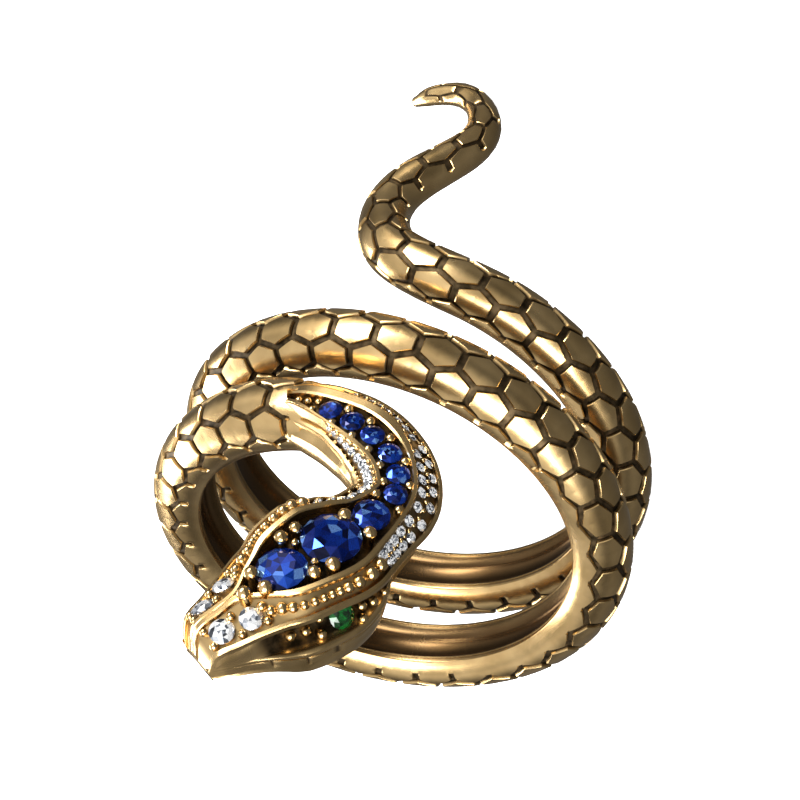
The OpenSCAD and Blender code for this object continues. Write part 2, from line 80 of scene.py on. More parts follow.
# The neck and head: turn, along, right half, left half, crest rise, edge rise, channel right
# half, channel left half, channel depth, side bulge, eye hollow, lift of the chin, foot's tuck
HEAD_RUN = np.array([
    (108, -0.5, 0.09, 0.1, 0.25, 0.19, 0.004, 0.004, 0.002, 0.05, 0, 0, 0.06),
    (100, -0.55, 0.105, 0.17, 0.293, 0.222, 0.026, 0.026, 0.055, 0.075, 0, 0, 0.06),
    (91.3, -0.627, 0.115, 0.215, 0.298, 0.225, 0.064, 0.066, 0.06, 0.08, 0, 0, 0.06),
    (85.6, -0.684, 0.145, 0.235, 0.3, 0.225, 0.075, 0.09, 0.06, 0.06, 0, 0, 0.06),
    (80.3, -0.742, 0.18, 0.235, 0.3, 0.225, 0.083, 0.09, 0.06, 0.035, 0, 0, 0.06),
    (75.4, -0.823, 0.2, 0.23, 0.3, 0.225, 0.088, 0.078, 0.06, 0.015, 0, 0, 0.055),
    (72.2, -0.929, 0.205, 0.228, 0.3, 0.225, 0.088, 0.068, 0.06, 0, 0, 0, 0.05),
    (71.2, -1.052, 0.208, 0.225, 0.305, 0.23, 0.083, 0.068, 0.06, -0.02, 0, 0, 0.045),
    (73.8, -1.216, 0.232, 0.235, 0.33, 0.25, 0.1, 0.105, 0.065, -0.04, 0.005, 0, 0.03),
    (76.4, -1.333, 0.29, 0.268, 0.36, 0.285, 0.15, 0.14, 0.08, -0.025, 0.04, 0, 0.01),
    (79.4, -1.457, 0.34, 0.31, 0.385, 0.31, 0.2, 0.18, 0.095, 0, 0.09, 0, 0),
    (82.9, -1.573, 0.335, 0.31, 0.392, 0.315, 0.193, 0.18, 0.095, 0.022, 0.1, 0, 0),
    (86.4, -1.689, 0.303, 0.285, 0.39, 0.312, 0.16, 0.15, 0.09, 0.025, 0.095, 0, 0),
    (89.9, -1.775, 0.26, 0.256, 0.38, 0.305, 0.09, 0.088, 0.07, 0.02, 0.08, 0, 0),
    (93.3, -1.857, 0.222, 0.228, 0.362, 0.29, 0.008, 0.008, 0.004, 0.012, 0.035, 0.045, 0),
    (96.8, -1.94, 0.192, 0.2, 0.338, 0.27, 0.004, 0.004, 0.001, 0.004, 0.004, 0.08, 0),
    (100.3, -2.02, 0.165, 0.17, 0.31, 0.25, 0.004, 0.004, 0.001, 0, 0.002, 0.105, 0),
    (102.4, -2.07, 0.125, 0.13, 0.18, 0.15, 0.004, 0.004, 0.001, 0, 0.001, 0.11, 0),
])

rest_matrix = Matrix.Translation(Vector(REST_SHIFT)) @ Euler(
    [math.radians(a) for a in REST_TURN], "XYZ").to_matrix().to_4x4()
to_metres = Matrix.Scale(MM, 4)


# ---- the run of the snake round the finger

def row_at(run, u):
    u = np.asarray(u, float)
    i = np.clip(np.floor(u).astype(int), 0, len(run) - 2)
    a, b = run[np.maximum(i - 1, 0)], run[i]
    c, d = run[i + 1], run[np.minimum(i + 2, len(run) - 1)]
    t = (u - i)[..., None]
    return b + 0.5 * t * ((c - a) + t * ((2 * a - 5 * b + 4 * c - d) + t * (3 * (b - c) + d - a)))


def over(turn, along, rise):
    angle = np.radians(turn)
    reach = BORE_R + rise
    return np.stack([reach * np.cos(angle), along * BORE_R + 0 * reach, reach * np.sin(angle)], -1)


def unit(v):
    return v / np.linalg.norm(v, axis=-1, keepdims=True)


def out_dir(turn):
    angle = np.radians(turn)
    return np.stack([np.cos(angle), 0 * angle, np.sin(angle)], -1)


def heading(run, u):
    a, b = row_at(run, u - 0.02), row_at(run, u + 0.02)
    return unit(over(b[..., 0], b[..., 1], WIRE_R) - over(a[..., 0], a[..., 1], WIRE_R))


def right_of(run, u):
    return unit(np.cross(heading(run, u), out_dir(row_at(run, u)[..., 0])))


HALVES = 2 * SCALE_COUNT
fine_u = np.arange(8 * (len(WIRE_RUN) - 1) + 1) / 8
fine_rows = row_at(WIRE_RUN, fine_u)
fine_points = over(fine_rows[:, 0], fine_rows[:, 1], STAND_OFF * WIRE_R)
fine_steps = np.linalg.norm(np.diff(fine_points, axis=0), axis=1)
run_len = np.concatenate([[0], np.cumsum(fine_steps)])


def u_at(m):
    """The station of the body's run at a half column."""
    return np.interp(np.interp(m, SCALE_MARKS[:, 0], SCALE_MARKS[:, 1]), run_len, fine_u)


def smooth_step(t):
    t = np.clip(t, 0, 1)
    return t * t * (3 - 2 * t)


# ---- small helpers for modelling by hand

def deselect():
    bpy.ops.object.select_all(action="DESELECT")


def begin(name):
    piece = bpy.context.object
    piece.name = name
    piece.data.name = name
    return piece


def edit(piece, mode="VERT"):
    deselect()
    bpy.context.view_layer.objects.active = piece
    piece.select_set(True)
    bpy.ops.object.mode_set(mode="EDIT")
    bpy.ops.mesh.select_mode(type=mode)
    bpy.ops.mesh.select_all(action="DESELECT")


def done():
    bpy.ops.object.mode_set(mode="OBJECT")


def pick_edges(piece, test):
    """Selects the edges whose two ends pass the test."""
    mesh = bmesh.from_edit_mesh(piece.data)
    for edge in mesh.edges:
        edge.select = test(edge.verts[0].co) and test(edge.verts[1].co)
    bmesh.update_edit_mesh(piece.data)


def pick_open_edges(piece, test):
    mesh = bmesh.from_edit_mesh(piece.data)
    for edge in mesh.edges:
        edge.select = edge.is_boundary and test(edge.verts[0].co) and test(edge.verts[1].co)
    bmesh.update_edit_mesh(piece.data)


def pick_verts(piece, test):
    mesh = bmesh.from_edit_mesh(piece.data)
    for vert in mesh.verts:
        vert.select = test(vert.co)
    mesh.select_flush_mode()
    bmesh.update_edit_mesh(piece.data)


def pick_faces(piece, test):
    mesh = bmesh.from_edit_mesh(piece.data)
    for face in mesh.faces:
        face.select = test(face)
    bmesh.update_edit_mesh(piece.data)


def join(pieces, name):
    deselect()
    for piece in pieces:
        piece.select_set(True)
    bpy.context.view_layer.objects.active = pieces[0]
    if len(pieces) > 1:
        bpy.ops.object.join()
    joined = bpy.context.object
    joined.name = name
    joined.data.name = name
    return joined


def settle(piece):
    """Puts the object at the origin with its place in its mesh."""
    deselect()
    bpy.context.view_layer.objects.active = piece
    piece.select_set(True)
    bpy.ops.object.transform_apply(location=True, rotation=True, scale=True)
    return piece


def copies(source, places, name):
    """One joined piece of the source's mesh copied to each place."""
    made = []
    for place in places:
        copy = source.copy()
        copy.data = source.data.copy()
        copy.matrix_world = place
        bpy.context.scene.collection.objects.link(copy)
        made.append(copy)
    bpy.context.view_layer.update()
    return settle(join(made, name))


def discard(piece):
    bpy.data.objects.remove(piece, do_unlink=True)


def get_points(piece):
    points = np.zeros(len(piece.data.vertices) * 3)
    piece.data.vertices.foreach_get("co", points)
    return points.reshape(-1, 3)


def set_points(piece, points):
    piece.data.vertices.foreach_set("co", np.asarray(points, np.float32).ravel())
    piece.data.update()


def to_rest(points):
    """Points in the finger's frame, in millimetres, to the ring at rest, in metres."""
    turned = points @ np.array(rest_matrix.to_3x3()).T + np.array(REST_SHIFT)
    return turned * MM


def paint(piece, name, values):
    layer = piece.data.attributes.new(name, "FLOAT", "POINT")
    layer.data.foreach_set("value", np.asarray(values, np.float32))


def smooth(piece, angle=35):
    deselect()
    bpy.context.view_layer.objects.active = piece
    piece.select_set(True)
    bpy.ops.object.shade_smooth_by_angle(angle=math.radians(angle))


def weld(piece, gap):
    edit(piece)
    bpy.ops.mesh.select_all(action="SELECT")
    bpy.ops.mesh.remove_doubles(threshold=gap)
    done()


# ---- the scaled skin, made flat: x is half columns, y degrees round the body, z millimetres

SPLITS = 5
TAIL_END = 14
HALF_WIDE = math.cos(math.radians(30))
# rows of cells lie this far apart, a cell's corners reach this far, and the skirt ends here
ROW_FLAT = 60
CORNER_FLAT = 100
RIM_FLAT = 140
CELL_HIGH = 40
GROOVE_HALF = 0.125
# a scale's steps from the groove's floor inward: how far in, and how far up
SCALE_STEPS = ((0.028, 0.165), (0.03, 0.035), (0.17, 0), (0.2, 0))


def scale_cell(side):
    """One hexagonal scale with its share of the groove; a side scale has a flat far end."""
    bpy.ops.mesh.primitive_circle_add(vertices=6, radius=1, fill_type="NGON", location=(0, 0, 0))
    cell = begin("side_scale" if side else "scale")
    if side:
        edit(cell)
        pick_verts(cell, lambda p: p.y > 0.9)
        bpy.ops.transform.translate(value=(0, -0.5, 0))
        done()
        edit(cell, "EDGE")
        pick_edges(cell, lambda p: p.y > 0.45)
        bpy.ops.mesh.subdivide(number_cuts=1)
        mesh = bmesh.from_edit_mesh(cell.data)
        for edge in mesh.edges:
            edge.select = min(v.co.y for v in edge.verts) < 0.45
        bmesh.update_edit_mesh(cell.data)
        bpy.ops.mesh.subdivide(number_cuts=SPLITS)
        done()
    else:
        edit(cell, "EDGE")
        bpy.ops.mesh.select_all(action="SELECT")
        bpy.ops.mesh.subdivide(number_cuts=SPLITS)
        done()
    edit(cell, "FACE")
    bpy.ops.mesh.select_all(action="SELECT")
    bpy.ops.mesh.inset(thickness=GROOVE_HALF, depth=0)
    size = 1 - GROOVE_HALF / HALF_WIDE
    for in_by, up_by in SCALE_STEPS:
        share = 1 - in_by / (HALF_WIDE * size)
        size *= share
        bpy.ops.mesh.extrude_region_move(TRANSFORM_OT_translate={"value": (0, 0, up_by)})
        bpy.ops.transform.resize(value=(share, share, 1), center_override=(0, 0, 0))
    bpy.ops.mesh.poke()
    bpy.ops.mesh.select_all(action="SELECT")
    bpy.ops.transform.translate(value=(0, 0, -GROOVE_DEEP))
    bpy.ops.transform.resize(value=(1 / HALF_WIDE, CELL_HIGH, 1), center_override=(0, 0, 0))
    done()
    return cell


def blunt(cell, stop):
    """Fills a side scale's grooves past a stop, so that they end as short stubs."""
    edit(cell)
    pick_verts(cell, lambda p: p.y > stop and p.z < -0.01)
    bpy.ops.transform.resize(value=(1, 1, 0), center_override=(0, 0, 0))
    done()


def row_of(cell, first, count, across, flip):
    """A row of cells along the body, from one array."""
    row = cell.copy()
    row.data = cell.data.copy()
    bpy.context.scene.collection.objects.link(row)
    deselect()
    bpy.context.view_layer.objects.active = row
    row.select_set(True)
    if flip:
        row.rotation_euler = (0, 0, math.pi)
        bpy.ops.object.transform_apply(rotation=True)
    array = row.modifiers.new("row", "ARRAY")
    array.use_relative_offset = False
    array.use_constant_offset = True
    array.constant_offset_displace = (2, 0, 0)
    array.count = count
    bpy.ops.object.modifier_apply(modifier="row")
    row.location = (first, across, 0)
    bpy.ops.object.transform_apply(location=True)
    return row


def half_of_cell(cell):
    """The half of a side scale past its middle, cut where the tail's side scales end."""
    half = cell.copy()
    half.data = cell.data.copy()
    bpy.context.scene.collection.objects.link(half)
    edit(half)
    bpy.ops.mesh.select_all(action="SELECT")
    bpy.ops.mesh.bisect(plane_co=(0, 0, 0), plane_no=(1, 0, 0), clear_inner=True)
    done()
    return half


def rungs(piece, levels):
    """Cuts a piece straight across at each level, so that its points meet its neighbour's."""
    for level in levels:
        edit(piece)
        bpy.ops.mesh.select_all(action="SELECT")
        bpy.ops.mesh.bisect(plane_co=(0, level, 0), plane_no=(0, 1, 0))
        done()


def stretch_skirt(cell, far, steps):
    """Carries a side scale's flat end on as a smooth skirt."""
    edit(cell, "EDGE")
    pick_open_edges(cell, lambda p: p.y > 19.99)
    for _ in range(steps):
        bpy.ops.mesh.extrude_region_move(TRANSFORM_OT_translate={"value": (0, far / steps, 0)})
    done()


# shares of the body's radius: how far out from its middle, and how high over the finger
INNER_FACE = np.array([
    (0.788, 0.034), (0.768, 0.008), (0.748, 0.0), (0.68, 0.0), (0.664, 0.036), (0.612, 0.036),
    (0.596, 0.004), (0.548, 0.004), (0.505, 0.13), (0.42, 0.235), (0.3, 0.295), (0.15, 0.325),
    (0.0, 0.333),
])


# half columns between which the grooves' outer spikes are left off
PLAIN_FROM, PLAIN_TO = 92, 112
SPIKES_FROM = 103
# the half column at which the scales stop at the neck
SCALES_STOP = 144.35
# the head's own turns start again from nought after the body's two full ones
FULL_TURNS = 720
# degrees round the body at which the scaled skin meets the inner face
RIM_AT = 128.0
# the head's station from which its channel's pointed tip cuts into the body
VEE_FROM = 0.65
VEE_HALF = 0.012
VEE_WIDENS = 0.06
VEE_RISE = 0.2


def wrap_skin(flat):
    """The flat skin's points wrapped on the body's run."""
    x, y, z = flat.T
    size, side_of = np.abs(y), np.sign(y)
    smooth_side = (x > PLAIN_FROM) & (x < PLAIN_TO) & (size > SPIKES_FROM)
    from_row = np.maximum(np.abs(size - ROW_FLAT) - CELL_HIGH / 2, 0)
    stop = SCALES_STOP + np.clip(1 - from_row / (CELL_HIGH / 2), 0, 1)
    z = np.where(smooth_side | (x > stop) | (x < -0.01), 0, z)
    u = u_at(x)
    rows = row_at(WIRE_RUN, u)
    r = rows[:, 2] * WIRE_R
    roll = SCALE_ROLL + SCALE_SWAY * np.sin(np.radians(rows[:, 0]))
    roll = roll + np.interp(x, TAIL_ROLL[:, 0], TAIL_ROLL[:, 1])
    eased = np.clip((RIM_FLAT - size) / 50, 0, 1)
    corner = CORNER_FLAT * ROW_PITCH / ROW_FLAT
    skirt = (RIM_AT - corner) / (RIM_FLAT - CORNER_FLAT)
    phi = np.where(size > CORNER_FLAT, corner + (size - CORNER_FLAT) * skirt,
                   size * ROW_PITCH / ROW_FLAT)
    phi = np.radians(side_of * phi + roll * eased)
    rr = r + z * rows[:, 2]
    side = rr * np.sin(phi)
    rise = STAND_OFF * r + rr * np.cos(phi)
    low = size > RIM_FLAT + 0.001
    step = np.clip(size - RIM_FLAT, 0, len(INNER_FACE) - 1)
    marks = np.arange(len(INNER_FACE))
    side = np.where(low, side_of * r * np.interp(step, marks, INNER_FACE[:, 0]), side)
    rise = np.where(low, r * np.interp(step, marks, INNER_FACE[:, 1]), rise)
    # both ends close in a small dome
    past = np.where(x < -1, -1 - x, np.where(x > HALVES, x - HALVES, 0))
    shut = np.sqrt(np.clip(1 - past ** 2, 0, 1))
    side = side * shut
    mid = np.where(x > HALVES, 0.5, STAND_OFF) * r
    rise = mid + (rise - mid) * shut
    reach = np.where(x < -1, -past * 1.1, past * 0.2) * r
    base = over(rows[:, 0], rows[:, 1], 0)
    points = (base + right_of(WIRE_RUN, u) * side[:, None] + out_dir(rows[:, 0]) * rise[:, None]
              + heading(WIRE_RUN, u) * reach[:, None])
    # under the pointed tip of the head's channel the body drops out of sight
    past_start = HEAD_RUN[0, 0] - FULL_TURNS - rows[:, 0]
    neck = np.interp(past_start, HEAD_RUN[0, 0] - HEAD_RUN[:3, 0], [0, 1, 2], left=-1)
    from_middle = points - head_at(neck, 0 * neck, 0 * neck)
    across = np.sum(from_middle * right_of(HEAD_RUN, neck), axis=1)
    vee = (VEE_HALF + VEE_WIDENS * (neck - VEE_FROM)) * BORE_R
    in_vee = (neck > VEE_FROM) & (np.abs(across) < vee)
    drop = np.where(in_vee, np.maximum(rise - VEE_RISE * BORE_R, 0), 0)
    return z, points - out_dir(rows[:, 0]) * drop[:, None]


def snake_skin():
    cell = scale_cell(False)
    side = scale_cell(True)
    tail_side = side.copy()
    tail_side.data = side.data.copy()
    bpy.context.scene.collection.objects.link(tail_side)
    blunt(side, -5)
    blunt(tail_side, 14)
    stretch_skirt(tail_side, ROW_FLAT, 4)
    rows = [row_of(cell, 1, SCALE_COUNT, 0, False)]
    half = half_of_cell(side)
    levels = [-20 + 40 * k / 6 for k in range(7)] + [35, 50, 65, 80]
    half_levels = sorted({round(p[1], 4) for p in get_points(half) if abs(p[0]) < 1e-5})
    last = tail_side.copy()
    last.data = tail_side.data.copy()
    bpy.context.scene.collection.objects.link(last)
    rungs(last, [level + ROW_FLAT for level in half_levels if -39 < level < 19.9])
    rungs(half, [level - ROW_FLAT for level in levels if -39 < level - ROW_FLAT < 19.9])
    full = (HALVES - TAIL_END) // 2
    for flip, sign in ((False, 1), (True, -1)):
        rows.append(row_of(tail_side, 0, TAIL_END // 2, ROW_FLAT * sign, flip))
        rows.append(row_of(last, TAIL_END, 1, ROW_FLAT * sign, flip))
        rows.append(row_of(cell, TAIL_END + 2, full, ROW_FLAT * sign, flip))
        rows.append(row_of(side, TAIL_END + 3, full, 2 * ROW_FLAT * sign, flip))
        piece = half.copy()
        piece.data = half.data.copy()
        bpy.context.scene.collection.objects.link(piece)
        deselect()
        bpy.context.view_layer.objects.active = piece
        piece.select_set(True)
        if flip:
            bpy.ops.object.mode_set(mode="EDIT")
            bpy.ops.mesh.select_all(action="SELECT")
            bpy.ops.transform.resize(value=(1, -1, 1), center_override=(0, 0, 0))
            bpy.ops.mesh.flip_normals()
            done()
        piece.location = (TAIL_END + 1, 2 * ROW_FLAT * sign, 0)
        bpy.ops.object.transform_apply(location=True)
        rows.append(piece)
    for source in (cell, side, tail_side, half, last):
        discard(source)
    skin = join(rows, "snake_body")
    weld(skin, 0.001)
    for at, way in ((0, -1), (HALVES, 1)):
        edit(skin)
        bpy.ops.mesh.select_all(action="SELECT")
        bpy.ops.mesh.bisect(plane_co=(at, 0, 0), plane_no=(way, 0, 0), clear_outer=True)
        done()
    edit(skin, "EDGE")
    for sign in (1, -1):
        bpy.ops.mesh.select_all(action="DESELECT")
        pick_open_edges(skin, lambda p: p.y * sign > RIM_FLAT - 0.01)
        for _ in range(len(INNER_FACE) - 1):
            bpy.ops.mesh.extrude_region_move(TRANSFORM_OT_translate={"value": (0, sign, 0)})
    for at, way in ((0, -1), (HALVES, 1)):
        bpy.ops.mesh.select_all(action="DESELECT")
        pick_open_edges(skin, lambda p: abs(p.x - at) < 0.001)
        lead = (0.08, 0.3, 0.3, 0.32) if way < 0 else ()
        for step in lead + (0.4, 0.3, 0.2, 0.1):
            bpy.ops.mesh.extrude_region_move(
                TRANSFORM_OT_translate={"value": (way * step, 0, 0)})
    done()
    flat = get_points(skin)
    depth, wrapped = wrap_skin(flat)
    paint(skin, "groove", np.clip(-depth / GROOVE_DEEP, 0, 1))
    # the ring's inner face is darkened by painted shade and painted dark reflection, a little over
    # its bands and most in its hollow
    inner = np.interp(np.abs(flat[:, 1]) - RIM_FLAT, [0, 1.5, 6, 9], [0, 0.35, 0.5, 1])
    paint(skin, "inside", inner)
    set_points(skin, to_rest(wrapped))
    weld(skin, 2e-7)
    edit(skin, "FACE")
    bpy.ops.mesh.select_all(action="SELECT")
    bpy.ops.mesh.normals_make_consistent(inside=False)
    done()
    smooth(skin, 32)
    return skin


# ---- the head, lofted along its own run

def half_of(row, sign):
    return row[..., 2] if sign > 0 else row[..., 3]


def channel_of(row, sign):
    return row[..., 6] if sign > 0 else row[..., 7]


def head_at(u, across, rise):
    row = row_at(HEAD_RUN, u)
    base = over(row[..., 0], row[..., 1], 0)
    return (base + right_of(HEAD_RUN, u) * (np.asarray(across) * BORE_R)[..., None]
            + out_dir(row[..., 0]) * (np.asarray(rise) * BORE_R)[..., None])


def foot_at(u, across, lift):
    p = head_at(u, across, np.zeros_like(u))
    k = BORE_R * (1 + lift) / np.hypot(p[..., 0], p[..., 2])
    return np.stack([p[..., 0] * k, p[..., 1], p[..., 2] * k], -1)


# where the strip of stones starts on each side, and the wide gold band inside the left one
STRIP_START = {1: 2.2, -1: 1.85}
BAND = np.array([(0, 0.045), (3.6, 0.045), (5.4, 0), (17, 0)])


def inner_edge(u, row, sign):
    """Where the floor of a side strip starts, out from the middle."""
    band = np.interp(u, BAND[:, 0], BAND[:, 1]) if sign < 0 else 0 * u
    wide = np.clip((channel_of(row, sign) - 0.1) / 0.05, 0, 1)
    return channel_of(row, sign) + RIM * (1.1 + 0.5 * wide) + band


def head_profile(us, row, sign):
    """(across, rise, dark) from the foot up over the rims to the channel's middle."""
    w, g = half_of(row, sign), channel_of(row, sign)
    cr, ed, dep, bl, ey, lf, tk = (row[..., k] for k in (4, 5, 8, 9, 10, 11, 12))
    zero = 0 * w
    cave = np.clip(ey / 0.04, 0, 1)
    # the channel's floor under the stones takes painted shade, more where the channel is deeper
    basin = np.clip(dep / 0.03, 0, 1)
    rises = [lf, lf * 0.8 + 0.045, lf * 0.7 + 0.073, lf * 0.65 + 0.079, lf * 0.6 + 0.085,
             lf * 0.5 + 0.106, lf * 0.45 + 0.118, lf * 0.3 + 0.126, lf * 0.2 + 0.155, ed - 0.06,
             ed - 0.034]
    # across beyond the rim, with an eye hollow under it and a lid under that
    lidded = [w + bl * 0.9, w + bl, w + bl * 1.05, w + bl * 1.05 - 0.014, w + bl * 1.05,
              w + bl * 0.95 + 0.004, w + bl * 0.8 - 0.01, w + bl * 0.6 - ey * 0.6, w - ey, w - ey,
              w - 0.026]
    tones = [0, 0, 0, 1, 0, 0, 0, 1, 1, 1, 1]
    wall = []
    for rise, across, tone in zip(rises, lidded, tones):
        t = (rise - lf) / (ed - 0.034 - lf)
        plain = w - 0.006 + bl * np.sqrt(np.clip(1 - t * t, 0, 1)) - tk * (1 - t) ** 2
        wall.append((plain + (across - plain) * cave, rise, tone * cave))
    fine = []
    for k in range(len(wall) - 1):
        a, b = wall[max(k - 1, 0)], wall[k]
        c, d = wall[k + 1], wall[min(k + 2, len(wall) - 1)]
        for t in (0, 0.25, 0.5, 0.75):
            fine.append(tuple(
                b[n] + 0.5 * t * ((c[n] - a[n]) + t * ((2 * a[n] - 5 * b[n] + 4 * c[n] - d[n])
                                                       + t * (3 * (b[n] - c[n]) + d[n] - a[n])))
                for n in range(3)))
    fine.append(wall[-1])
    open_by = smooth_step((us - STRIP_START[sign]) / 0.3)
    # painted shade on the floor of each stone strip, between the stones, less from station 9.3 on
    shade = open_by * (0.7 - 0.35 * smooth_step((us - 9.3) / 0.5))
    deep = np.minimum(1, (w - g) / (3 * RIM)) * open_by
    strip = STRIP * deep
    e = inner_edge(us, row, sign)
    e = np.minimum(e, (w - RIM + g) / 2)
    wide = e - g
    fine += [
        (w, ed - 0.026, zero),
        (w, ed - 0.005, zero),
        (w - RIM * 0.2, ed + 0.001, zero),
        (w - RIM * 0.8, ed + 0.005, zero),
        (w - RIM, ed - 0.001, zero),
        (w - RIM * 1.04, ed - strip * 0.9, shade),
        (w - RIM * 1.25, ed - strip, shade),
        (e + RIM * 0.25, cr - strip, shade),
        (e + RIM * 0.04, cr - strip * 0.9, shade),
        (e, cr - 0.004, zero),
        (e - wide * 0.18, cr + 0.003, zero),
        (g + wide * 0.18, cr + 0.003, zero),
        (g, cr - 0.004, zero),
        (g * 0.97, cr - dep * 0.7, basin * 0.4),
        (g * 0.88, cr - dep, basin),
        (g * 0.45, cr - dep * 1.02, basin),
    ]
    return fine


# stations of the short grooves cut across the jaw, and how deep they are
JAW_MARKS = (11.75, 12.625, 13.375, 14.125)
JAW_CUT = 0.009


def head_body():
    us = np.concatenate([np.arange(0, 17, 0.125), [17.0]])
    rows = row_at(HEAD_RUN, us)
    right, left = head_profile(us, rows, 1), head_profile(us, rows, -1)
    ring, dark = [], []

    marks = np.isin(np.rint(us * 8), [8 * u for u in JAW_MARKS]).astype(float)

    def add(profile, sign):
        for n, (across, rise, tone) in enumerate(profile):
            if 3 <= n <= 10:
                across, tone = across - JAW_CUT * marks, np.maximum(tone, marks)
            if n == 0:
                ring.append(foot_at(us, sign * across, rise))
            else:
                ring.append(head_at(us, sign * across, rise))
            dark.append(tone)

    add(right, 1)
    middle = rows[:, 4] - rows[:, 8] * 1.02
    ring.append(head_at(us, 0 * us, middle))
    # painted shade along the middle of the channel's floor, under the stones
    dark.append(np.clip(rows[:, 8] / 0.03, 0, 1))
    left_ring = len(ring)
    add(left, -1)
    ring[left_ring:] = ring[left_ring:][::-1]
    dark[left_ring:] = dark[left_ring:][::-1]
    for share in (-0.8, -0.4, 0, 0.4, 0.8):
        half = np.where(share > 0, rows[:, 2], rows[:, 3])
        ring.append(foot_at(us, half * share, rows[:, 11]))
        dark.append(0 * us)
    around, along = len(ring), len(us)
    bpy.ops.mesh.primitive_cylinder_add(vertices=around, radius=1, depth=2, end_fill_type="NGON")
    head = begin("snake_head")
    edit(head, "EDGE")
    mesh = bmesh.from_edit_mesh(head.data)
    for edge in mesh.edges:
        edge.select = abs(edge.verts[0].co.z - edge.verts[1].co.z) > 1
    bmesh.update_edit_mesh(head.data)
    bpy.ops.mesh.subdivide(number_cuts=along - 2)
    done()
    flat = get_points(head)
    station = np.rint((flat[:, 2] + 1) / 2 * (along - 1)).astype(int)
    turned = np.degrees(np.arctan2(-flat[:, 0], flat[:, 1])) % 360
    place = np.rint(turned / 360 * around).astype(int) % around
    table = np.stack(ring, 1)
    tones = np.stack(dark, 1)
    set_points(head, to_rest(table[station, place]))
    # the head's tone mark: patina in the eye hollow and in the jaw's cuts, painted shade on the
    # stone strips' floors and in the channel under the stones
    paint(head, "dark", tones[station, place])
    edit(head, "FACE")
    bpy.ops.mesh.select_all(action="SELECT")
    bpy.ops.mesh.normals_make_consistent(inside=False)
    done()
    smooth(head, 30)
    return head


def seat_matrix(u, across, rise, tilt=0.0):
    """Where a stone or bead stands on the head: its own z is outward."""
    u = np.array(float(u))
    e = out_dir(row_at(HEAD_RUN, u)[0])
    r = right_of(HEAD_RUN, u)
    t = np.cross(e, r)
    p = head_at(u, np.array(across), np.array(rise))
    at = Matrix((
        (t[0], -r[0], e[0], p[0]),
        (t[1], -r[1], e[1], p[1]),
        (t[2], -r[2], e[2], p[2]),
        (0, 0, 0, 1)))
    return to_metres @ rest_matrix @ at @ Matrix.Rotation(math.radians(-tilt), 4, "X")


def strip_spot(u, sign, part, lift=0.0):
    """Across, rise and tilt at a place across a side strip: 0 by its inner rim, 1 by its outer."""
    u = np.array(float(u))
    row = row_at(HEAD_RUN, u)
    a, b = inner_edge(u, row, sign), half_of(row, sign) - RIM * 1.04
    a = min(a, b)
    across = a + (b - a) * part
    slope = (row[5] - row[4]) / max(b - a, 0.03)
    rise = row[4] - STRIP + slope * (across - a)
    tilt = sign * math.degrees(math.atan(slope))
    return sign * across, rise + lift, tilt


# a cut stone's sides, and its table, crown and pavilion as shares of its width
GEM_SIDES = 8
TABLE = 0.58
CROWN = 0.15
PAVILION = 0.42


def cut_stone(width, name):
    """A round brilliant: circles of corners at each height, closed by their hull into facets."""
    r = width / 2
    levels = [
        (GEM_SIDES, TABLE * r, CROWN * width, 0.5),
        (GEM_SIDES, 0.82 * r, CROWN * 0.55 * width, 0),
        (2 * GEM_SIDES, r, 0.018 * width, 0),
        (2 * GEM_SIDES, r, -0.018 * width, 0),
        (GEM_SIDES, 0.46 * r, -PAVILION * 0.62 * width, 0.5),
        (4, 0.02 * r, -PAVILION * width, 0.5),
    ]
    rings = []
    for count, radius, high, offset in levels:
        bpy.ops.mesh.primitive_circle_add(
            vertices=count, radius=radius, location=(0, 0, high),
            rotation=(0, 0, 2 * math.pi * offset / count))
        rings.append(settle(bpy.context.object))
    stone = join(rings, name)
    edit(stone, "FACE")
    bpy.ops.mesh.select_all(action="SELECT")
    bpy.ops.mesh.convex_hull()
    bpy.ops.mesh.select_all(action="SELECT")
    bpy.ops.mesh.dissolve_limited(angle_limit=math.radians(1))
    bpy.ops.mesh.select_all(action="SELECT")
    bpy.ops.mesh.normals_make_consistent(inside=False)
    # the table is parted into the facets that show through it
    pick_faces(stone, lambda f: f.calc_center_median().z > CROWN * width * 0.98)
    bpy.ops.mesh.inset(thickness=0.34 * TABLE * r, depth=0)
    bpy.ops.mesh.poke()
    done()
    return stone


def paint_facet_reflections(stone, seed):
    """A random tone for each of its facets, which the stone's finish turns into painted
    reflections.
    """
    tones = np.random.default_rng(seed).random(len(stone.data.polygons))
    layer = stone.data.attributes.new("facet", "FLOAT", "FACE")
    layer.data.foreach_set("value", np.asarray(tones, np.float32))
    return stone


def bead(stem):
    """A ball of unit radius on a stem that runs down into the gold."""
    bpy.ops.mesh.primitive_uv_sphere_add(segments=12, ring_count=8, radius=1)
    ball = begin("bead")
    edit(ball, "FACE")
    pick_faces(ball, lambda f: f.calc_center_median().z < -0.5)
    bpy.ops.mesh.delete(type="FACE")
    bpy.ops.mesh.select_mode(type="EDGE")
    pick_open_edges(ball, lambda p: True)
    bpy.ops.mesh.extrude_region_move(TRANSFORM_OT_translate={"value": (0, 0, -stem)})
    bpy.ops.transform.resize(value=(0.8, 0.8, 1), center_override=(0, 0, 0))
    bpy.ops.mesh.edge_face_add()
    bpy.ops.mesh.select_all(action="SELECT")
    bpy.ops.mesh.normals_make_consistent(inside=False)
    done()
    smooth(ball, 50)
    return ball


def sized(place, size):
    return place @ Matrix.Scale(size * BORE_R, 4)


def nose_spot(u, sign, across, lift):
    """The matrix of a stone or bead on the sloped side of the nose."""
    row = row_at(HEAD_RUN, np.array(u))
    slope = (row[5] - row[4]) / (half_of(row, sign) - channel_of(row, sign) - 2 * RIM)
    rise = row[4] - STRIP + slope * (across - channel_of(row, sign) - RIM)
    return seat_matrix(u, sign * across, rise + lift, sign * math.degrees(math.atan(slope)))


# ---- finishes

